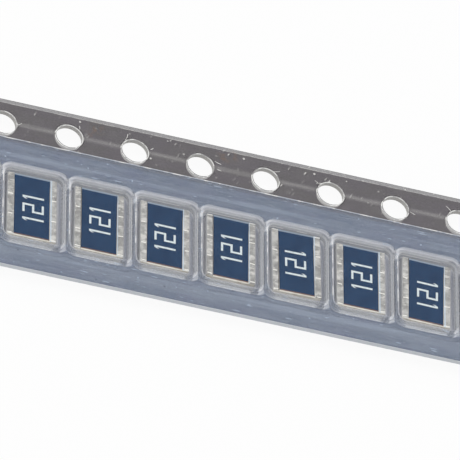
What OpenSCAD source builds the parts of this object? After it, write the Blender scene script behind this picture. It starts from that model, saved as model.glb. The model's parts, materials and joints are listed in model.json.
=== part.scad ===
// A cut strip of 12 mm embossed carrier tape: a smoky plastic tape with a row
// of thermoformed pockets, a chip resistor lying in each, and a clear cover
// film sealed over them. The tape runs along X, its sprocket holes lie towards
// +Y, and the strip rests on the floors of its pockets at Z = 0.

/* [Tape] */
// Width of the tape
tape_w = 12; // [11:0.1:16]
// Thickness of the flat sheet
sheet_t = 0.3; // [0.2:0.01:0.36]
// Number of pockets in the strip
pocket_count = 9; // [1:1:9]
// Distance from one sprocket hole to the next
hole_pitch = 4; // [4:0.5:8]
// Diameter of a sprocket hole
hole_d = 1.6; // [1.5:0.05:1.8]
// From the edge of the tape to the centres of the sprocket holes
hole_edge = 1.7; // [1.3:0.05:2]
// From the line of sprocket holes to the line of pockets
hole_to_pocket = 5.55; // [5.2:0.05:5.8]
// Along the tape, from a pocket's centre to the next sprocket hole
pocket_to_hole = 2; // [1:0.1:3]
// Diameter of the hole in the floor of each pocket
floor_hole_d = 1.5; // [0.5:0.1:2.2]

/* [Pocket] */
// Play between a chip and the foot of the walls, along the tape
play_along = 0.24; // [0.16:0.01:0.25]
// Play between a chip and the foot of the walls, across the tape
play_across = 0.2; // [0.16:0.01:0.5]
// Gap between a chip's top and the cover film
headroom = 0.23; // [0.05:0.01:0.6]
// Lean of the walls, in degrees from upright
draft = 6; // [2:0.5:6.5]
// Thickness of the drawn walls
wall_t = 0.16; // [0.08:0.01:0.18]
// Thickness of the floor
floor_t = 0.2; // [0.1:0.01:0.4]
// Radius of the rounded rim at the mouth
rim_r = 0.16; // [0.05:0.01:0.16]
// Radius inside, where the walls meet the floor
foot_r = 0.1; // [0.03:0.01:0.14]
// Corner radius of the pocket seen from above, at its floor
corner_r = 0.35; // [0.28:0.01:0.8]
// Flat left between the rims of two pockets, at the least
rim_land = 0.08; // [0.04:0.01:0.08]

/* [Cover film] */
// Thickness of the cover film
film_t = 0.05; // [0.03:0.01:0.1]
// Gap between the sprocket holes and the film
film_gap = 0.28; // [0.05:0.01:0.6]
// Tape left bare along the edge away from the sprocket holes
film_inset = 0.07; // [0:0.01:0.5]

/* [Chip resistor] */
// Length of a chip over its terminals, along the tape
chip_l = 2.98; // [2:0.01:3]
// Width of a chip, across the tape
chip_w = 4.5; // [3:0.05:5]
// Height of a chip over its terminals
chip_h = 0.55; // [0.4:0.01:1]
// Thickness of the tinned terminals
plating_t = 0.04; // [0.02:0.01:0.08]
// Width of a terminal on the top face
terminal_w = 0.4; // [0.25:0.01:0.6]
// Width of a terminal on the underside
terminal_back_w = 0.46; // [0.25:0.01:0.7]
// Radius along the outer edges of a terminal
terminal_r = 0.05; // [0.01:0.01:0.08]
// Bare ceramic at each end of a terminal
terminal_inset = 0.03; // [0:0.01:0.2]
// Thickness of the protective coat
coat_t = 0.045; // [0.02:0.005:0.08]
// Gap between the coat and a terminal
coat_gap = 0.02; // [0.01:0.01:0.1]
// Bare ceramic at each end of the coat
coat_inset = 0.1; // [0.02:0.01:0.4]
// Width of the slope along the edges of the coat
coat_slope = 0.04; // [0.01:0.01:0.08]

/* [Hidden] */
$fn = 48;

// How each chip has settled in its pocket: its shift along and across the tape
// and its turn, as shares of the room that its pocket leaves it.
settled = [
    [-0.6, -0.3, 0.1],
    [-0.8, -0.4, 0],
    [-0.4, -0.4, -0.08],
    [-0.55, -0.4, -0.1],
    [-0.4, 0.4, -0.08],
    [-0.4, 0.4, 0.28],
    [-0.8, -0.4, 0],
    [-0.6, -0.4, -0.35],
    [-0.5, -0.2, 0.06],
];

// Heights
pocket_depth = chip_h + headroom;
top_z = floor_t + pocket_depth;
under_z = top_z - sheet_t;

// The pocket at its floor, and the centres of its rounded corners
floor_half_l = chip_l / 2 + play_along;
floor_half_w = chip_w / 2 + play_across;
corner_x = floor_half_l - corner_r;
corner_y = floor_half_w - corner_r;

// The pocket's wall in section, measured outwards from a corner's centre.
// Each rounding runs between two tangent points at this share of its radius.
tangent = tan(45 - draft / 2);
along_wall = [sin(draft), cos(draft)];
mouth = corner_r + pocket_depth * tan(draft);
skin = wall_t / cos(draft);
base_r = foot_r + wall_t;
base_edge = corner_r + skin - floor_t * tan(draft);
wall_top = corner_r + skin + (under_z - floor_t) * tan(draft);
rim_edge = mouth + rim_r * tangent;
flange = max(rim_edge + rim_land / 2, wall_top);

// The strip: it is cut midway between two pockets
pocket_pitch = hole_pitch * ceil(2 * (corner_x + flange) / hole_pitch);
strip_l = pocket_count * pocket_pitch;
hole_y = tape_w / 2 - hole_edge;
pocket_y = hole_y - hole_to_pocket;
film_top_y = hole_y - hole_d / 2 - film_gap;
film_w = film_top_y + tape_w / 2 - film_inset;

// The chip
core_l = chip_l - 2 * plating_t;
core_h = chip_h - 2 * plating_t;
coat_l = chip_l - 2 * terminal_w - 2 * coat_gap;
coat_w = chip_w - 2 * coat_inset;
room_along = play_along - foot_r;
room_across = play_across - foot_r;
full_turn = min(atan(2 * room_along / chip_w), atan(2 * room_across / chip_l));

function pocket_x(n) = (n - (pocket_count + 1) / 2) * pocket_pitch;

// The part of a circle that lies beyond the line from a to b
module bulge(a, b, centre, r) {
    out = (a + b) / 2 - centre;
    reach = 2 * r * out / norm(out);
    intersection() {
        translate(centre) circle(r = r);
        polygon([a, b, b + reach, a + reach]);
    }
}

// The wall in section: floor, foot, leaning wall, rounded rim and flange
module wall_section() {
    foot = foot_r * tangent;
    rim = rim_r * tangent;
    base = base_r * tangent;
    foot_in = [corner_r - foot, floor_t];
    foot_up = [corner_r, floor_t] + foot * along_wall;
    rim_down = [mouth, top_z] - rim * along_wall;
    rim_out = [rim_edge, top_z];
    base_in = [base_edge - base, 0];
    base_up = [base_edge, 0] + base * along_wall;
    difference() {
        union() {
            polygon([
                [0, 0], base_in, base_up, [wall_top, under_z], [flange, under_z],
                [flange, top_z], rim_out, rim_down, foot_up, foot_in, [0, floor_t]
            ]);
            bulge(base_in, base_up, [base_in[0], base_r], base_r);
            bulge(rim_out, rim_down, [rim_edge, top_z - rim_r], rim_r);
        }
        translate([foot_in[0], floor_t + foot_r]) circle(r = foot_r);
    }
}

// Two walls that face each other, each with the corner at its one end
module wall_pair(length, spread) {
    for (side = [0, 180]) {
        rotate([0, 0, side]) translate([spread, 0, 0]) {
            rotate([90, 0, 0]) linear_extrude(length, center = true) wall_section();
            translate([0, length / 2, 0]) rotate_extrude(angle = 90) wall_section();
        }
    }
}

// One drawn pocket, open at the top, with the hole in its floor, which runs
// some way under the walls
module pocket() {
    lap = corner_r - foot_r;
    wall_pair(2 * corner_y, corner_x);
    rotate([0, 0, 90]) wall_pair(2 * corner_x, corner_y);
    linear_extrude(floor_t) difference() {
        square([2 * corner_x + lap, 2 * corner_y + lap], center = true);
        circle(d = floor_hole_d);
    }
}

// The opening that a pocket makes in the flat sheet
module mouth_outline() {
    reach = rim_edge + rim_land / 8;
    square([2 * (corner_x + reach), 2 * corner_y], center = true);
    square([2 * corner_x, 2 * (corner_y + reach)], center = true);
    for (x = [-corner_x, corner_x], y = [-corner_y, corner_y]) {
        translate([x, y]) circle(r = reach);
    }
}

// The flat sheet with its row of sprocket holes
module sheet() {
    first = pocket_x(1) + pocket_to_hole;
    span = ceil(strip_l / hole_pitch) + 1;
    translate([0, 0, under_z]) linear_extrude(sheet_t) difference() {
        square([strip_l, tape_w], center = true);
        for (k = [-span : span]) {
            x = first + k * hole_pitch;
            if (abs(x) < (strip_l + hole_d) / 2) translate([x, hole_y]) circle(d = hole_d);
        }
        for (n = [1 : pocket_count]) translate([pocket_x(n), pocket_y]) mouth_outline();
    }
}

module carrier_tape() {
    color([0.44, 0.45, 0.5, 0.8]) {
        sheet();
        for (n = [1 : pocket_count]) translate([pocket_x(n), pocket_y, 0]) pocket();
    }
}

// The film, sealed to the sheet on both sides of the pockets
module cover_film() {
    color([0.6, 0.66, 0.76, 0.35]) {
        translate([-strip_l / 2, film_inset - tape_w / 2, top_z]) cube([strip_l, film_w, film_t]);
    }
}

// Puts a chip's piece where the chip has settled in pocket n
module in_pocket(n) {
    rest = settled[n - 1];
    x = pocket_x(n) + rest[0] * room_along;
    y = pocket_y + rest[1] * room_across;
    translate([x, y, floor_t]) rotate([0, 0, rest[2] * full_turn]) children();
}

// The white ceramic body
module substrate() {
    color([0.93, 0.92, 0.88]) {
        translate([-core_l / 2, -chip_w / 2, plating_t]) cube([core_l, chip_w, core_h]);
    }
}

// A layer with sloping edges along its length, seen in section
module coat_section(width) {
    polygon([[-width / 2, 0], [width / 2, 0], [width / 2 - coat_slope, coat_t], [coat_slope - width / 2, coat_t]]);
}

// The blue glassy coat over the resistive layer, sloping at all four edges
module overcoat() {
    color([0.2, 0.29, 0.4]) translate([0, 0, chip_h - plating_t]) intersection() {
        rotate([90, 0, 0]) linear_extrude(coat_w, center = true) coat_section(coat_l);
        rotate([90, 0, 90]) linear_extrude(coat_l, center = true) coat_section(coat_w);
    }
}

// One tinned terminal, wrapped round the edge of the ceramic at the chip's left
module terminal() {
    edge = -chip_l / 2;
    color([0.72, 0.71, 0.68]) rotate([90, 0, 0]) {
        linear_extrude(chip_w - 2 * terminal_inset, center = true) difference() {
            union() {
                for (y = [terminal_r, chip_h - terminal_r]) {
                    translate([edge + terminal_r, y]) circle(r = terminal_r);
                }
                translate([edge, terminal_r]) square([terminal_w, chip_h - 2 * terminal_r]);
                translate([edge + terminal_r, chip_h / 2]) square([terminal_w - terminal_r, chip_h / 2]);
                translate([edge + terminal_r, 0]) square([terminal_back_w - terminal_r, chip_h / 2]);
            }
            translate([edge + plating_t, plating_t]) square([chip_l, core_h]);
        }
    }
}

carrier_tape();
cover_film();
for (n = [1 : pocket_count]) {
    in_pocket(n) substrate();
    in_pocket(n) overcoat();
    in_pocket(n) terminal();
    in_pocket(n) mirror([1, 0, 0]) terminal();
}
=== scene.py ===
import json
import math
import random
from types import SimpleNamespace

import bmesh
import bpy
from mathutils import Matrix, Vector


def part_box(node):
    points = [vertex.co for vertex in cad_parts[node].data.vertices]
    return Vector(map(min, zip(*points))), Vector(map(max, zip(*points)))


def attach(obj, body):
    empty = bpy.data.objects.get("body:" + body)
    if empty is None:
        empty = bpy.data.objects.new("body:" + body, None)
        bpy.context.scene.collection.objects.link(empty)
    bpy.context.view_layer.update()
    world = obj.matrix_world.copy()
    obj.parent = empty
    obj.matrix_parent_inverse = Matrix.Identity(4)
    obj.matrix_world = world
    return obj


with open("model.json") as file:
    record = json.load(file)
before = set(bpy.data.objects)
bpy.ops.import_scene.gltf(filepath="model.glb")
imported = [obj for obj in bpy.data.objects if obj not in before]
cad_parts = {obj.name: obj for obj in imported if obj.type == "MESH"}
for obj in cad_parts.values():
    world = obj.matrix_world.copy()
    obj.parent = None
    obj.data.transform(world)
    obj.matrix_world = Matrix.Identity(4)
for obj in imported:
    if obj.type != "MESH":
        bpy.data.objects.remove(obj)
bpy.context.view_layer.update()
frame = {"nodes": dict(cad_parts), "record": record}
nodes = frame["nodes"]
chipNumbers = range(1, 1 + sum(name.endswith("_substrate") for name in nodes))
mm = 0.001
print("frame loaded:", len(nodes), "solids")


def boxInMm(node):
    return [[value / mm for value in corner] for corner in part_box(node)]


# One socket of a material, so that masks and mixes are written as sums.
class Signal:
    def __init__(self, finish, socket):
        self.finish, self.socket = finish, socket

    def __add__(self, other):
        return self.finish.maths("ADD", self, other)

    def __radd__(self, other):
        return self.finish.maths("ADD", other, self)

    def __sub__(self, other):
        return self.finish.maths("SUBTRACT", self, other)

    def __rsub__(self, other):
        return self.finish.maths("SUBTRACT", other, self)

    def __mul__(self, other):
        return self.finish.maths("MULTIPLY", self, other)

    def __rmul__(self, other):
        return self.finish.maths("MULTIPLY", other, self)

    def __mod__(self, other):
        return self.finish.maths("FLOORED_MODULO", self, other)

    def __abs__(self):
        return self.finish.maths("ABSOLUTE", self)


# A material, or the world, and the nodes in it. Distances inside a finish are in millimetres.
class Finish:
    def __init__(self, name, holder=None):
        self.material = holder or bpy.data.materials.new(name)
        self.material.use_nodes = True
        self.tree = self.material.node_tree
        self.tree.nodes.clear()

    def node(self, kind, settings=None, values=None, out=0):
        made = self.tree.nodes.new("ShaderNode" + kind)
        for name, value in (settings or {}).items():
            setattr(made, name, value)
        for name, value in (values or {}).items():
            socket = made.inputs[name]
            if isinstance(value, Signal):
                self.tree.links.new(value.socket, socket)
            else:
                socket.default_value = (*value, 1) if self.isTone(socket, value) else value
        return Signal(self, made.outputs[out]) if made.outputs else None

    def isTone(self, socket, value):
        return socket.type == "RGBA" and isinstance(value, tuple) and len(value) == 3

    def maths(self, operation, *values):
        return self.node("Math", {"operation": operation}, dict(enumerate(values)))

    def split(self, vector):
        parts = self.node("SeparateXYZ", values={0: vector}).socket.node
        return [Signal(self, socket) for socket in parts.outputs]

    def greatest(self, first, *others):
        for other in others:
            first = self.maths("MAXIMUM", first, other)
        return first

    def place(self):                      # the three object coordinates
        where = self.node("TexCoord", out=3)
        return self.split(self.node("VectorMath", {"operation": "SCALE"}, {0: where, "Scale": 1 / mm}))

    def facing(self, axis):               # how far the surface faces along an axis
        return self.split(self.node("NewGeometry", out=1))["XYZ".index(axis)]

    def seenDirectly(self):               # by the camera, in a reflection or through glass
        camera, glossy, through = (self.node("LightPath", out=name) for name in
                                   ("Is Camera Ray", "Is Glossy Ray", "Is Transmission Ray"))
        return self.greatest(camera, glossy, through)

    def join(self, x, y, z):
        return self.node("CombineXYZ", values={0: x, 1: y, 2: z})

    def rise(self, value, low, high):     # 0 below low, 1 above high, smooth between
        return self.node("MapRange", {"interpolation_type": "SMOOTHSTEP"},
                         {"Value": value, "From Min": low, "From Max": high})

    def band(self, value, centre, half, soft):      # 1 within half of the centre
        return 1 - self.rise(abs(value - centre), half, half + soft)

    def cloud(self, where, scale, detail=3.0, rough=0.55):
        return self.node("TexNoise", {"noise_dimensions": "3D"},
                         {"Vector": where, "Scale": scale, "Detail": detail, "Roughness": rough})

    def specks(self, where, scale, radius, share):  # dots in some of the cells
        spots = {"feature": "F1", "distance": "EUCLIDEAN"}
        near = self.node("TexVoronoi", spots, {"Vector": where, "Scale": scale}, out=0)
        draw = self.node("TexVoronoi", spots, {"Vector": where, "Scale": scale}, out=1)
        chosen = self.node("SeparateColor", values={0: draw}, out=0)
        return (1 - self.rise(near, radius * 0.5, radius)) * self.rise(chosen, 1 - share, 1.02 - share)

    def blend(self, amount, first, second):
        return self.node("Mix", {"data_type": "RGBA"}, {0: amount, 6: first, 7: second}, out=2)

    def bump(self, height, depth):        # depth in millimetres
        return self.node("Bump", values={"Strength": 1.0, "Distance": depth * mm, "Height": height})

    def surface(self, values):
        shader = self.node("BsdfPrincipled", values=values)
        self.node("OutputMaterial", values={"Surface": shader})
        return self.material


# The smoky carrier tape. Its places come from the frame, and lengths are in millimetres.
sprockets = frame["record"]["mounts"][0]
tapeLow, tapeHigh = boxInMm("carrier_tape")
tape = {
    "start": tapeLow[0], "far": tapeHigh[1], "top": tapeHigh[2],
    "pitch": sprockets["dims"]["spacing_x_mm"], "holeLine": sprockets["pos_m"][1] / mm,
    "filmEdge": boxInMm("cover_film")[1][1],
    "pocketLine": -1.25, "sealLines": (2.02, -4.97),
    "cornerX": 1.38, "cornerY": 2.1,      # centres of a pocket's rounded corners
    "bareTone": (0.140, 0.129, 0.138), "bareLight": (0.72, 0.71, 0.69),
    "coveredTone": (0.160, 0.203, 0.286), "coveredLight": (0.29, 0.335, 0.415),
    "rimTone": (0.40, 0.41, 0.47), "rimShade": (0.125, 0.135, 0.165),
    "wallTone": (0.25, 0.27, 0.325), "wallFootLight": (0.52, 0.54, 0.62), "footHighlight": (0.95, 0.96, 0.98),
    "cutTone": (0.93, 0.96, 0.99), "gleamTone": (0.97, 0.95, 0.90),
    "topSolid": 0.45, "underSolid": 0.94, "thinSolid": 0.10, "rimSolid": 0.50, "cutSolid": 0.62,
    "wallSolid": 0.78, "nearSolid": 0.22, "skinSolid": 0.09,
    "ior": 1.41,                          # below the real 1.59, since the white room shines from all sides
}


def fromPocket(x, y):                     # place in the nearest pocket, from its centre
    return (x - tape["start"]) % tape["pitch"] - tape["pitch"] / 2, y - tape["pocketLine"]


def pocketReach(f, x, y):                 # how far beyond a pocket's inner rectangle
    along, across = fromPocket(x, y)
    along = f.greatest(abs(along) - tape["cornerX"], 0.0)
    across = f.greatest(abs(across) - tape["cornerY"], 0.0)
    return f.maths("SQRT", across * across + along * along)


# Each region of the tape as a mask from 0 to 1, and the clouds that several tones share. A pocket's floor
# is at z 0.20, the sheet's underside at 0.68 and its top at 0.98. The reach is 0.35 at the foot of the walls,
# and 0.58 where the rim meets the flat sheet.
def tapeRegions(f):
    at = SimpleNamespace()
    x, y, z = at.x, at.y, at.z = f.place()
    at.here = f.join(x, y, z)
    at.along, at.across = fromPocket(x, y)
    at.reach = pocketReach(f, x, y)
    at.holeX = x % tape["pitch"] - tape["pitch"] / 2
    at.holeY = y - tape["holeLine"]
    at.fromHole = f.maths("SQRT", at.holeX * at.holeX + at.holeY * at.holeY)

    at.upper = f.rise(z, 0.90, 0.95)
    at.bare = f.rise(y, tape["filmEdge"] - 0.02, tape["filmEdge"] + 0.02)
    at.near = (1 - f.rise(at.across, -2.2, -2.0)) * (1 - f.rise(at.along, 1.26, 1.46))
    at.farSide = f.rise(at.across, 2.0, 2.2)
    at.drawn = 1 - f.rise(at.reach - 0.09 * at.farSide, 0.54, 0.62)      # the pockets and their rims
    at.wall = (1 - f.rise(z, 0.84, 0.94)) * at.drawn
    at.skin = f.rise(at.reach, 0.45, 0.49) * (1 - f.rise(z, 0.64, 0.70))      # the outside of a pocket
    at.shaded = f.rise(at.along - 0.30 * f.rise(at.across, 1.9, 2.3), 1.46, 1.64)      # turned from the light
    at.thin = (1 - f.rise(at.reach, 0.86, 1.10)) * (1 - f.rise(at.across, -1.9, -1.5))      # sheet drawn thin
    at.thin = at.thin * (1 - f.rise(abs(at.along), 1.38, 1.66))
    at.cut = (1 - f.rise(abs(f.facing("Z")), 0.25, 0.5)) * (1 - at.drawn)
    at.under = (1 - f.rise(z, 0.69, 0.70)) * f.rise(at.reach, 0.74, 0.84)

    at.streaks = f.cloud(f.join(x * 0.16, y * 2.8, z), 1.0, 5.0, 0.7)
    at.mottle = f.cloud(at.here, 0.9, 4.0, 0.6)
    at.fine = f.cloud(at.here, 9.0, 3.0, 0.7)
    at.hue = f.rise(f.cloud(f.join(x * 0.5 + 9.0, y * 1.7, z), 1.0, 4.0, 0.6), 0.42, 0.58)
    return at


# The strip beside the film: a painted highlight along the holes, and nicks with a painted shadow beside them.
# Its masks (farEdge, marks, lip, lipShade) are kept for howSolid.
def bareStrip(f, at):
    x, y, z, here = at.x, at.y, at.z, at.here
    # a painted highlight that runs along the line of holes
    holeHighlight = f.band(y, tape["holeLine"] + 0.05, 0.02, 0.24)
    holeHighlight = holeHighlight * (0.55 + 0.45 * f.rise(at.streaks, 0.42, 0.54))
    uneven = 0.4 + 0.6 * f.rise(f.cloud(here, 1.7, 3.0), 0.42, 0.54)
    at.farEdge = f.band(y, tape["far"] - 0.25, 0.012, 0.04) * uneven * at.upper
    busy = f.greatest(1 - f.rise(at.fromHole, 0.9, 1.5), f.rise(y, tape["far"] - 1.0, tape["far"] - 0.5))
    busy = (0.35 + 0.65 * busy * f.rise(f.cloud(here, 0.9, 2.0), 0.42, 0.56)) * at.upper * at.bare

    def nicksAt(x, y):
        dots = f.specks(f.join(x, y, z), 3.0, 0.30, 0.20)
        slanted = f.specks(f.join(x * 0.9 + y * 1.3, y * 2.4 - x * 3.8, z), 1.0, 0.30, 0.15)
        upright = f.specks(f.join(x * 4.2 - y * 1.9, y * 0.9 + x * 0.5, z), 1.0, 0.28, 0.12)
        return f.greatest(dots, slanted, upright) * busy

    # the nicks, and a shifted copy of them that is painted as their shadow
    at.marks, shadows = nicksAt(x, y), nicksAt(x - 0.07, y + 0.06)

    # The lip that the punch left round each hole: a pale line, and beside it a dark line of painted shade.
    nearLeft = f.rise(-0.6 * at.holeX - 0.8 * at.holeY, 0.15, 0.55)
    ragged = f.rise(f.cloud(here, 2.6, 3.0), 0.42, 0.52)
    at.lip = f.band(at.fromHole - 0.055 * nearLeft, 0.815, 0.015, 0.035) * (0.45 + 0.55 * ragged) * at.upper
    outerShade = 0.8 * f.band(at.fromHole, 0.90, 0.01, 0.04) * ragged
    at.lipShade = f.band(at.fromHole, 0.81, 0.008, 0.022) * nearLeft + outerShade
    at.lipShade = at.lipShade * at.upper * (1 - at.lip)

    tone = f.blend(at.hue, tape["bareTone"], (0.146, 0.131, 0.150))
    # painted shadow beside the nicks, and painted shade beside each hole's lip
    tone = f.blend(f.greatest(0.8 * shadows, at.lipShade), tone, (0.03, 0.028, 0.03))
    light = 0.46 * holeHighlight * at.upper + 0.60 * at.farEdge + at.marks + at.lip
    light = light + 0.05 * f.rise(at.mottle, 0.45, 0.75) + 0.03 * f.rise(at.fine, 0.5, 0.75)
    tone = f.blend(light, tone, tape["bareLight"])
    tone = f.blend(at.lip, tone, (0.98, 0.98, 0.96))
    rust = f.specks(f.join(x * 0.9, y, z), 0.42, 0.30, 0.24) * f.rise(f.cloud(here, 2.4, 4.0), 0.5, 0.62)
    return f.blend(0.55 * rust * at.bare, tone, (0.26, 0.15, 0.09))


# The sheet under the film: bluer and paler, with two pressed seal lines.
def coveredStrip(f, at):
    x, y, z = at.x, at.y, at.z
    farSeal, nearSeal = tape["sealLines"]
    seal = f.band(y, farSeal, 0.05, 0.16) + f.band(y, nearSeal, 0.08, 0.22)
    smear = f.cloud(f.join(x * 0.45 + y * 0.1, y * 1.6, z), 1.0, 5.0, 0.68)
    hair = f.rise(f.cloud(f.join(x * 0.35, y * 11.0, z), 1.0, 4.0, 0.6), 0.53, 0.59)
    light = 0.26 * seal * f.rise(at.streaks, 0.3, 0.6) + 0.30 * f.rise(at.streaks, 0.49, 0.60)
    light = light + 0.75 * f.specks(f.join(x * 1.5 + y * 0.5, y * 6.5, z), 1.0, 0.32, 0.20)
    light = light + 0.36 * f.band(y, -4.80, 0.20, 0.30)
    light = light + 0.34 * f.rise(f.cloud(f.join(x * 1.3, y * 5.0, z), 1.0, 5.0, 0.75), 0.49, 0.60)
    light = light + 0.22 * f.rise(smear, 0.51, 0.57) + 0.34 * hair + 0.9 * f.specks(at.here, 2.3, 0.22, 0.12)
    tone = f.blend(0.45 * (1 - f.rise(smear, 0.42, 0.50)), tape["coveredTone"], (0.10, 0.135, 0.215))
    tone = f.blend(0.6 * at.hue, tone, (0.185, 0.205, 0.315))
    tone = f.blend(light, tone, tape["coveredLight"])
    tone = f.blend(f.specks(f.join(x + 7.0, y + 3.0, z), 1.7, 0.17, 0.10), tone, (0.05, 0.06, 0.09))
    # a painted shade line round each pocket, where the thinned sheet ends
    outlineShade = f.band(at.reach, 1.09, 0.03, 0.06) * (1 - f.rise(at.across, -2.9, -2.6))
    return f.blend(0.6 * outlineShade, tone, (0.06, 0.07, 0.11))


# The rims: painted highlights along the far rim and on the near rim, and painted shade where a rim turns from
# the light.
def rimSurface(f, at):
    tone = f.blend(f.rise(at.mottle, 0.3, 0.75), tape["rimTone"], (0.50, 0.51, 0.57))
    # a painted highlight along the far rim
    tone = f.blend(0.8 * at.farSide * f.rise(at.reach, 0.50, 0.58), tone, (0.74, 0.75, 0.79))
    highlightPatches = f.rise(f.cloud(f.join(at.x * 1.3, at.y * 3.0, at.z), 1.0, 4.0, 0.65), 0.42, 0.57)
    # a painted highlight on the near rim, in patches
    nearRim = at.near * f.rise(at.reach, 0.44, 0.50)
    tone = f.blend((0.20 + 0.75 * highlightPatches) * nearRim, tone, (0.76, 0.755, 0.755))
    return f.blend(at.shaded, tone, tape["rimShade"])


# The pocket's walls, coloured by height and side for light and shade: painted light at the foot, painted
# light on the upper far wall and in a band near the top, painted shade at mid height on the right wall, a
# painted glint, and near walls painted pale for the light through the tape.
def pocketSides(f, at):
    x, y, z = at.x, at.y, at.z
    left = 1 - f.rise(at.along, 1.2, 1.6)
    # painted light at the foot of the walls
    tone = f.blend(f.rise(z, 0.32, 0.46), tape["wallFootLight"], tape["wallTone"])
    tone = f.blend(at.farSide * f.rise(z, 0.72, 0.80) * left, tone, (0.74, 0.75, 0.79))
    tone = f.blend(0.75 * f.band(z, 0.72, 0.03, 0.10), tone, (0.46, 0.48, 0.53))
    # painted shade at mid height on the right wall
    tone = f.blend(0.65 * f.band(z, 0.50, 0.05, 0.10) * (1 - left), tone, (0.15, 0.165, 0.20))
    glint = at.farSide * f.band(z, 0.62, 0.012, 0.03) * (1 - f.rise(at.along, 1.2, 1.5))
    glint = glint * f.rise(f.cloud(f.join(x * 0.8, y, z), 1.0, 3.0), 0.42, 0.52)
    tone = f.blend(0.6 * glint, tone, (0.90, 0.90, 0.89))
    # the near walls painted pale, as painted light through the tape
    return f.blend(at.near, tone, (0.85, 0.85, 0.86))


# Edges where the sheet was cut: clear and bright, whitest at the top of a hole.
def cutEdges(f, at):
    holeTone = f.blend(at.upper, (0.82, 0.81, 0.77), (1.0, 1.0, 0.99))
    farTone = f.blend(f.rise(at.fine, 0.4, 0.6), (0.52, 0.53, 0.55), (0.82, 0.83, 0.85))
    tone = f.blend(at.bare * (1 - f.rise(at.fromHole, 1.0, 1.1)), tape["cutTone"], holeTone)
    return f.blend(f.rise(at.y, tape["far"] - 0.4, tape["far"] - 0.2), tone, farTone)


def change(value, region, other):         # from the value to the other, where the region's mask is 1
    return value * (1 - region) + other * region


# How solid each region looks. The sheet has two faces, and what shows through is their product.
def howSolid(f, at):
    solid = tape["topSolid"] + (tape["thinSolid"] - tape["topSolid"]) * at.thin
    solid = solid * (1 - 0.5 * (1 - f.rise(at.fromHole, 0.94, 1.04)))
    solid = change(solid, at.drawn, tape["rimSolid"] + 0.14 * at.farSide * (1 - f.rise(at.reach, 0.46, 0.54)))
    solid = change(solid, at.wall, change(tape["wallSolid"], at.near, tape["nearSolid"]))
    solid = change(solid, at.skin, tape["skinSolid"])
    solid = change(solid, at.under, tape["underSolid"])
    solid = change(solid, at.cut, tape["cutSolid"])
    solid = solid + (0.95 - tape["cutSolid"]) * at.cut * f.rise(at.z, 0.94, 0.96)
    return f.greatest(solid, 0.9 * at.marks, 0.9 * at.lip, 0.9 * at.lipShade, 0.7 * at.farEdge,
                      0.8 * at.foot, 0.95 * at.gleam)


def makeCarrierPlastic():
    f = Finish("smokyCarrierPlastic")
    at = tapeRegions(f)
    x, y, z = at.x, at.y, at.z
    # the pocket's floor is painted pale, as painted light in the shaded gap
    bed = (1 - f.rise(z, 0.205, 0.23)) * (1 - f.rise(at.reach, 0.24, 0.28))      # the pocket's floor
    # the foot of each near wall, where a painted highlight runs
    at.foot = (1 - f.rise(z, 0.27, 0.32)) * f.rise(z, 0.198, 0.204) * f.rise(at.reach, 0.24, 0.28) * at.near
    uneven = 0.55 + 0.45 * f.rise(f.cloud(f.join(x, y * 0.8, z), 1.0, 2.0), 0.42, 0.56)
    straight = 1 - f.rise(abs(at.across), 1.8, 2.2)
    at.gleam = f.band(at.along, -1.928, 0.020, 0.028) * straight * f.rise(z, 0.90, 0.93) * uneven

    bareTone = bareStrip(f, at)
    tone = f.blend(at.bare, coveredStrip(f, at), bareTone)
    tone = f.blend(at.drawn, tone, rimSurface(f, at))
    tone = f.blend(at.wall, tone, pocketSides(f, at))
    tone = f.blend(bed, tone, (0.84, 0.84, 0.87))
    # a painted highlight at the foot of the near walls
    tone = f.blend(at.foot, tone, tape["footHighlight"])
    tone = f.blend(at.gleam, tone, tape["gleamTone"])
    tone = f.blend(at.cut, tone, cutEdges(f, at))
    height = 0.6 * f.cloud(at.here, 1.3, 3.0) + 0.25 * at.streaks + 0.12 * at.fine
    rough = 0.22 + 0.16 * f.rise(at.fine, 0.4, 0.7) + 0.25 * at.marks
    return f.surface({"Base Color": tone, "Alpha": howSolid(f, at), "Roughness": rough, "IOR": tape["ior"],
                      "Normal": f.bump(height, 0.02)})


# The heat-sealed cover film.
film = {
    "tone": (0.62, 0.72, 0.88), "overPocket": 0.012, "overSheet": 0.05, "sealed": 0.09,
    "edgeWidth": 0.08, "edgeSolid": 0.74, "ior": 1.44,
}


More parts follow.
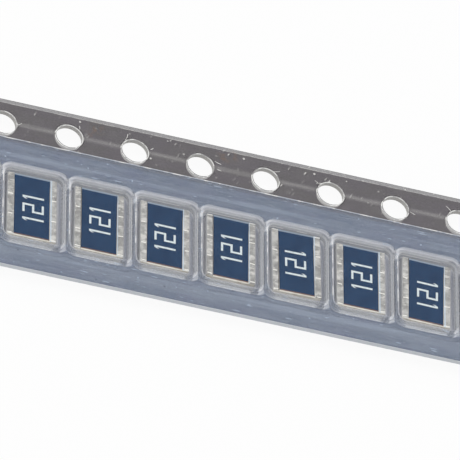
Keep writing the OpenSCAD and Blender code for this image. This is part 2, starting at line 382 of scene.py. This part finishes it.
def makeCoverFilm():
    f = Finish("clearCoverFilm")
    x, y, z = f.place()
    here = f.join(x, y, z)
    reach = pocketReach(f, x, y)
    over = f.rise(reach, 0.40, 0.62)
    long = f.cloud(f.join(x * 0.10, y * 3.2, z), 1.0, 5.0, 0.65)
    ripple = f.cloud(f.join(x * 0.55, y * 0.8, z), 1.0, 3.0)
    farSeal, nearSeal = tape["sealLines"]
    seal = f.band(y, farSeal, 0.16, 0.14) + f.band(y, nearSeal, 0.2, 0.16)
    edgeStart = tape["filmEdge"] - film["edgeWidth"]
    edge = f.rise(y, edgeStart, tape["filmEdge"] - 0.02)
    scuffs = f.specks(f.join(x * 0.9 + y * 0.2, y * 6.0, z), 1.0, 0.34, 0.34) * over
    scuffs = scuffs * f.rise(f.cloud(f.join(x * 0.5 + 4.0, y * 0.8, z), 1.0, 2.0), 0.50, 0.58)
    scratches = f.specks(f.join(x * 1.5 - y * 0.3, y * 9.0, z), 1.0, 0.30, 0.16) * over
    dust = f.specks(here, 2.6, 0.17, 0.10)

    haze = film["overPocket"] + (film["overSheet"] - film["overPocket"]) * over
    haze = haze + film["sealed"] * seal * f.rise(long, 0.42, 0.56) + 0.07 * over * f.rise(long, 0.48, 0.60)
    haze = haze + 0.36 * scuffs + 0.30 * scratches + 0.45 * dust * over
    haze = haze * (1 - edge) + film["edgeSolid"] * edge
    # a painted highlight along the film's edge
    filmEdgeHighlight = f.rise(y, edgeStart - 0.01, edgeStart + 0.01)      # a bright line, broken here and there
    filmEdgeHighlight = filmEdgeHighlight * f.rise(f.cloud(f.join(x * 0.7, 0.0, 0.0), 1.0, 4.0, 0.7), 0.46, 0.58)
    haze = haze + (1 - film["edgeSolid"]) * filmEdgeHighlight
    tone = f.blend(edge, film["tone"], (0.72, 0.76, 0.84))
    tone = f.blend(filmEdgeHighlight, tone, (1.0, 1.0, 1.0))
    height = ripple + 0.15 * long + 0.3 * seal
    return f.surface({"Base Color": tone, "Alpha": haze, "Roughness": 0.12 + 0.2 * f.rise(long, 0.4, 0.7),
                      "Normal": f.bump(height, 0.02), "IOR": film["ior"]})


# The chips.
chip = {
    "alumina": (0.86, 0.82, 0.74), "aluminaShade": (0.70, 0.65, 0.56), "aluminaFarShade": (0.32, 0.39, 0.48),
    "coat": (0.004, 0.031, 0.090), "coatLight": (0.010, 0.046, 0.120), "coatRust": (0.42, 0.22, 0.13),
    "coatIor": 1.3,
    "tin": (0.535, 0.53, 0.51), "tinLight": (0.76, 0.745, 0.71), "tinShade": (0.29, 0.285, 0.275),
}


def makeAlumina():
    f = Finish("whiteAlumina")
    x, y, z = f.place()
    here = f.join(x, y, z)
    grain = f.cloud(here, 14.0, 4.0, 0.7)
    stain = f.cloud(here, 1.6, 3.0)
    tone = f.blend(f.rise(stain, 0.4, 0.7), chip["alumina"], chip["aluminaShade"])
    tone = f.blend(0.35 * f.rise(grain, 0.5, 0.75), tone, (0.93, 0.91, 0.87))
    tone = f.blend(f.rise(y, 0.3, 0.5), tone, chip["aluminaFarShade"])      # painted shade, bluish, at the far end of each chip
    # painted light on the lower part of each near end face
    nearEndLight = (1 - f.rise(f.facing("Y"), -0.9, -0.6)) * (1 - f.rise(z, 0.42, 0.60))
    tone = f.blend(nearEndLight, tone, (1.0, 0.98, 0.95))
    return f.surface({"Base Color": tone, "Roughness": 0.42 + 0.2 * grain, "Normal": f.bump(grain, 0.006)})


def makeBlueCoat():
    f = Finish("blueGlassCoat")
    here = f.join(*f.place())
    cloudy = f.cloud(here, 1.4, 4.0, 0.6)
    grain = f.cloud(here, 16.0, 3.0, 0.7)
    tone = f.blend(f.rise(cloudy + 0.3 * grain, 0.45, 0.85), chip["coat"], chip["coatLight"])
    tone = f.blend(0.5 * f.rise(-1 * f.facing("Y"), 0.35, 0.6), tone, chip["coatRust"])
    return f.surface({"Base Color": tone, "Roughness": 0.30 + 0.2 * f.rise(grain, 0.4, 0.7),
                      "Normal": f.bump(grain + cloudy, 0.004), "IOR": chip["coatIor"]})


def makeTin():
    f = Finish("dullTin")
    x, y, z = f.place()
    here = f.join(x, y, z)
    side = f.rise(abs(f.facing("X")), 0.6, 0.9)      # end faces, pale with light through the tape
    brushed = f.cloud(f.join(x * 1.6, y * 3.6, z), 1.0, 4.0, 0.65)
    patches = f.cloud(here, 1.9, 4.0, 0.65)
    tone = f.blend(f.rise(patches, 0.36, 0.66), chip["tinShade"], chip["tin"])
    tone = f.blend(0.7 * f.rise(brushed, 0.50, 0.62), tone, chip["tinLight"])
    # painted glints
    tone = f.blend(f.specks(here, 6.0, 0.2, 0.12), tone, (0.95, 0.94, 0.90))
    along, across = fromPocket(x, y)
    # painted highlights at both ends of each terminal
    tone = f.blend(0.8 * f.rise(abs(across), 2.16, 2.24), tone, (0.95, 0.95, 0.93))
    # painted shade on the rounded outer edge of the right terminal
    tone = f.blend(0.45 * f.rise(along, 1.33, 1.46), tone, (0.22, 0.22, 0.25))      # the rounded outer edge
    # painted shade along the coat's left edge, and a painted highlight along its right edge
    coatShadeLine, coatHighlightLine = f.band(along, -1.155, 0.02, 0.035), f.band(along, 1.03, 0.02, 0.04)
    tone = f.blend(0.75 * coatShadeLine, tone, (0.05, 0.035, 0.03))
    tone = f.blend(0.7 * coatHighlightLine, tone, (0.60, 0.72, 0.84))
    tone = f.blend(0.85 * side, tone, (0.97, 0.97, 0.96))
    return f.surface({"Base Color": tone, "Metallic": (0.35 + 0.2 * patches) * (1 - side),
                      "Roughness": 0.38 + 0.25 * f.rise(brushed, 0.35, 0.7),
                      "Normal": f.bump(brushed + 0.5 * patches, 0.012)})


def makeCodePaint():
    f = Finish("whiteCodePaint")
    here = f.join(*f.place())
    worn = f.cloud(here, 7.0, 4.0, 0.7)
    tone = f.blend(f.rise(worn, 0.45, 0.72), (0.80, 0.87, 0.88), (0.60, 0.68, 0.72))
    return f.surface({"Base Color": tone, "Roughness": 0.5 + 0.2 * worn, "Normal": f.bump(worn, 0.004)})


finishes = {
    "carrier_tape": makeCarrierPlastic(), "cover_film": makeCoverFilm(), "substrate": makeAlumina(),
    "overcoat": makeBlueCoat(), "terminal_left": makeTin(),
}
finishes["terminal_right"] = finishes["terminal_left"]
codePaint = makeCodePaint()
for name, solid in nodes.items():
    finish = finishes[name.split("_", 1)[1] if name.startswith("chip") else name]
    for slot in solid.material_slots:
        slot.material = finish
print("finishes made")


def addPiece(name, shape, finish):
    mesh = bpy.data.meshes.new(name)
    bmesh.ops.recalc_face_normals(shape, faces=shape.faces)
    shape.to_mesh(mesh)
    shape.free()
    mesh.materials.append(finish)
    piece = bpy.data.objects.new(name, mesh)
    bpy.context.collection.objects.link(piece)
    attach(piece, "root")
    return piece


def gather(whole, one):                   # adds one small shape to a piece made of many
    mesh = bpy.data.meshes.new("one")
    one.to_mesh(mesh)
    one.free()
    whole.from_mesh(mesh)
    bpy.data.meshes.remove(mesh)


# Where each chip lies, and how far it has turned.
turns = [0.36, 0, -0.28, -0.36, -0.28, 1.0, 0, -1.25, 0.21]      # degrees
upsideDown = (6, 8)                       # chips that went into the tape the other way round


def chipPlace(number):
    low, high = (Vector(corner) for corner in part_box(f"chip{number}_substrate"))
    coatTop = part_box(f"chip{number}_overcoat")[1][2]
    centre = (low + high) / 2
    turn = Matrix.Rotation(math.radians(turns[number - 1]), 4, "Z")
    return Matrix.Translation((centre.x, centre.y, coatTop)) @ turn @ Matrix.Scale(mm, 4)


# The printed value codes: squared strokes, each joined from small square cells.
code = {
    "height": 1.29, "stroke": 0.13, "thick": 0.009, "digits": [("one", -0.79), ("two", -0.02), ("one", 0.79)],
    "twoWidth": 0.62, "flag": (-0.102, -0.17), "weld": 0.001,
    "shift": {1: (0.03, 0.02), 2: (0.06, -0.10), 3: (0.03, 0.04), 4: (0.0, -0.10), 5: (0.02, 0.05),
              6: (-0.07, -0.07), 7: (0.045, 0.14), 8: (0.06, -0.17), 9: (0.0, 0.03)},
}


def strokeThrough(shape, corners):
    cells = []
    for corner in corners:
        made = bmesh.ops.create_grid(shape, x_segments=1, y_segments=1, size=code["stroke"] / 2,
                                     matrix=Matrix.Translation((*corner, 0)))
        cells.append(made["verts"][0].link_faces[0])
    for first, second in zip(cells, cells[1:]):
        way = second.calc_center_median() - first.calc_center_median()
        sides = [max(cell.edges, key=lambda edge: (edge.verts[0].co + edge.verts[1].co).dot(sign * way))
                 for cell, sign in ((first, 1), (second, -1))]
        bmesh.ops.contextual_create(shape, geom=sides)
    return cells


def drawDigit(shape, digit, across):      # across runs along the reading direction
    top, side = code["height"] / 2 - code["stroke"] / 2, (code["twoWidth"] - code["stroke"]) / 2
    if digit == "one":
        cells = strokeThrough(shape, [(across, -top), (across, top)])
        flagEdge = min(cells[1].edges, key=lambda edge: edge.verts[0].co.x + edge.verts[1].co.x)
        made = bmesh.ops.extrude_edge_only(shape, edges=[flagEdge])["geom"]
        tip = [part for part in made if isinstance(part, bmesh.types.BMVert)]
        bmesh.ops.translate(shape, verts=tip, vec=(*code["flag"], 0))
    else:
        strokeThrough(shape, [(across + x * side, y * top) for x, y in
                              ((-1, 1), (1, 1), (1, 0), (-1, 0), (-1, -1), (1, -1))])


def makeCodes():
    codes = bmesh.new()
    for number in chipNumbers:
        one = bmesh.new()
        for digit, across in code["digits"]:
            drawDigit(one, digit, across)
        bmesh.ops.remove_doubles(one, verts=one.verts, dist=code["weld"])
        raised = bmesh.ops.extrude_face_region(one, geom=one.faces[:])["geom"]
        top = [part for part in raised if isinstance(part, bmesh.types.BMVert)]
        bmesh.ops.translate(one, verts=top, vec=(0, 0, code["thick"]))
        turn = Matrix.Rotation(math.radians(90 if number not in upsideDown else -90), 4, "Z")
        shift = Matrix.Translation((*code["shift"][number], 0))
        bmesh.ops.transform(one, verts=one.verts, matrix=chipPlace(number) @ shift @ turn)
        gather(codes, one)
    return addPiece("valueCodes", codes, codePaint)


makeCodes()
print("value codes made")


# Ridges in the tin, where the plating was parted across each terminal.
ridge = {"length": (0.24, 0.37), "width": 0.08, "thick": 0.018, "rows": (-2.12, -0.77, 0.74), "wander": 0.05,
         "outerEnd": 1.47, "inset": (0, 0.04), "slant": (-0.12, 0.12), "rounding": 0.007, "seed": 7}


def makeRidges():
    chance = random.Random(ridge["seed"])
    ridges = bmesh.new()
    for number in chipNumbers:
        place = chipPlace(number)
        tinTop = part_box(f"chip{number}_terminal_left")[1][2] / mm
        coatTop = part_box(f"chip{number}_overcoat")[1][2] / mm
        for side in (-1, 1):
            for row in ridge["rows"]:
                length = chance.uniform(*ridge["length"])
                x = side * (ridge["outerEnd"] - length / 2 - chance.uniform(*ridge["inset"]))
                y = row + chance.uniform(-1, 1) * ridge["wander"]
                one = bmesh.new()
                bmesh.ops.create_cube(one, size=1.0)
                bmesh.ops.scale(one, verts=one.verts, vec=(length, ridge["width"], ridge["thick"]))
                edges = [edge for edge in one.edges if abs(edge.verts[0].co.x - edge.verts[1].co.x) > 0.01
                         and edge.verts[0].co.z > 0]
                bmesh.ops.bevel(one, geom=edges, offset=ridge["rounding"], segments=2, profile=0.5,
                                affect="EDGES", material=-1)
                slant = Matrix.Rotation(chance.uniform(*ridge["slant"]), 4, "Z")
                rest = Matrix.Translation((x, y, tinTop - coatTop))
                bmesh.ops.transform(one, verts=one.verts, matrix=place @ rest @ slant)
                gather(ridges, one)
    return addPiece("tinRidges", ridges, makeRidgeTin())


def makeRidgeTin():
    f = Finish("tinRidgeHighlight")
    here = f.join(*f.place())
    grain = f.cloud(here, 8.0, 3.0, 0.6)
    # the ridges' tin is painted far paler than the terminals, as a painted highlight
    tone = f.blend(f.rise(grain, 0.35, 0.7), (0.88, 0.86, 0.80), (0.97, 0.96, 0.92))
    return f.surface({"Base Color": tone, "Metallic": 0.2 * grain, "Roughness": 0.35 + 0.2 * grain,
                      "Normal": f.bump(grain, 0.006)})


makeRidges()
print("tin ridges made")


# The little strands that the punch tore round the holes.
strand = {
    "perHole": 2, "length": (0.22, 0.60), "width": 0.035, "thick": 0.02, "bend": 0.5, "taper": 1.2,
    "from": (0.88, 1.15), "turn": (-0.9, 0.9), "lift": 0.3, "cuts": 6, "seed": 12,
    "clear": (0.4, 0.6),                  # kept free beside the film and beside the tape's edge
}
wholeHoles = [tape["start"] + tape["pitch"] * k for k in chipNumbers[:-1]]      # between the two cut ones


def makeStrands():
    chance = random.Random(strand["seed"])
    strands = bmesh.new()
    for hole in wholeHoles:
        for _ in range(strand["perHole"]):
            angle, away = chance.uniform(0, 2 * math.pi), chance.uniform(*strand["from"])
            length, turn = chance.uniform(*strand["length"]), chance.uniform(*strand["turn"])
            x, y = hole + away * math.cos(angle), tape["holeLine"] + away * math.sin(angle)
            if not tape["filmEdge"] + strand["clear"][0] < y < tape["far"] - strand["clear"][1]:
                continue
            one = bmesh.new()
            bmesh.ops.create_cube(one, size=1.0)
            bmesh.ops.scale(one, verts=one.verts, vec=(length, strand["width"], strand["thick"]))
            long = [edge for edge in one.edges if abs(edge.verts[0].co.x - edge.verts[1].co.x) > 0.1]
            bmesh.ops.subdivide_edges(one, edges=long, cuts=strand["cuts"], use_grid_fill=True)
            for vert in one.verts:        # a strand curls, and thins to its ends
                slim = 1 - strand["taper"] * (vert.co.x / length) ** 2
                vert.co.y = vert.co.y * slim + strand["bend"] * vert.co.x ** 2
            place = Matrix.Translation((x, y, tape["top"] + strand["lift"] * strand["thick"]))
            turned = Matrix.Scale(mm, 4) @ place @ Matrix.Rotation(angle + turn, 4, "Z")
            bmesh.ops.transform(one, verts=one.verts, matrix=turned)
            gather(strands, one)
    return addPiece("punchStrands", strands, makeStrandPlastic())


def makeStrandPlastic():
    f = Finish("paleStrand")
    here = f.join(*f.place())
    grain = f.cloud(here, 5.0, 3.0)
    tone = f.blend(f.rise(grain, 0.4, 0.6), (0.52, 0.51, 0.49), (0.92, 0.92, 0.90))
    return f.surface({"Base Color": tone, "Roughness": 0.3 + 0.2 * grain, "Normal": f.bump(grain, 0.004)})


makeStrands()
print("punch strands made")


# Floor, lamps and camera.
stage = {
    "size": 4.0, "below": 0.00002, "floor": (0.92, 0.92, 0.92),
    "glow": 0.94,                         # how far the floor is plain white where it is seen directly
    "room": 0.62,                         # even white light from all round
}


def makeFloor():
    f = Finish("paleFloor")
    paint = f.node("BsdfDiffuse", values={"Color": stage["floor"]})
    glow = f.node("Emission", values={"Color": (1, 1, 1), "Strength": 1.0})
    front = f.node("MixShader", values={0: f.seenDirectly() * stage["glow"], 1: paint, 2: glow})
    under = f.node("BsdfTransparent")
    back = f.node("NewGeometry", out=6)
    whole = f.node("MixShader", values={0: back, 1: front, 2: under})
    f.node("OutputMaterial", values={"Surface": whole})
    shape = bmesh.new()
    bmesh.ops.create_grid(shape, x_segments=1, y_segments=1, size=stage["size"] / 2)
    mesh = bpy.data.meshes.new("floor")
    shape.to_mesh(mesh)
    shape.free()
    mesh.materials.append(f.material)
    floor = bpy.data.objects.new("floor", mesh)
    bpy.context.collection.objects.link(floor)
    floor.location.z = -stage["below"]


lamps = {
    "softbox": {"from": (-0.16, 0.05, 0.32), "size": 0.22, "power": 0.34, "tone": (1.0, 0.99, 0.97)},
    "backRight": {"from": (0.26, 0.25, 0.15), "size": 0.10, "power": 0.22, "tone": (0.97, 0.98, 1.0)},
}


def makeLight():
    world = bpy.data.worlds.new("room")
    bpy.context.scene.world = world
    f = Finish("room", world)
    room = f.node("Background", values={"Color": (1, 1, 1), "Strength": stage["room"]})
    white = f.node("Background", values={"Color": (1, 1, 1), "Strength": 1.0})
    sky = f.node("MixShader", values={0: f.seenDirectly(), 1: room, 2: white})
    f.node("OutputWorld", values={"Surface": sky})
    for name, lamp in lamps.items():
        light = bpy.data.lights.new(name, "AREA")
        light.shape, light.size = "SQUARE", lamp["size"]
        light.energy, light.color = lamp["power"], lamp["tone"]
        holder = bpy.data.objects.new(name, light)
        holder.location = lamp["from"]
        holder.rotation_euler = (-Vector(lamp["from"])).to_track_quat("-Z", "Y").to_euler()
        bpy.context.collection.objects.link(holder)


camera = {
    "lens": 684.17, "sensor": 36, "clip": (0.01, 20),
    "at": (-0.130062, -0.313196, 0.373252), "turned": (38.4572, -19.2364, 0.0094),
}


def makeCamera():
    eye = bpy.data.cameras.new("camera")
    eye.lens, eye.sensor_width = camera["lens"], camera["sensor"]
    eye.clip_start, eye.clip_end = camera["clip"]
    holder = bpy.data.objects.new("camera", eye)
    holder.location = camera["at"]
    holder.rotation_euler = [math.radians(angle) for angle in camera["turned"]]
    bpy.context.collection.objects.link(holder)
    bpy.context.scene.camera = holder


makeFloor()
makeLight()
makeCamera()
bpy.context.scene.view_settings.view_transform = "Standard"
print("floor, lamps and camera set")
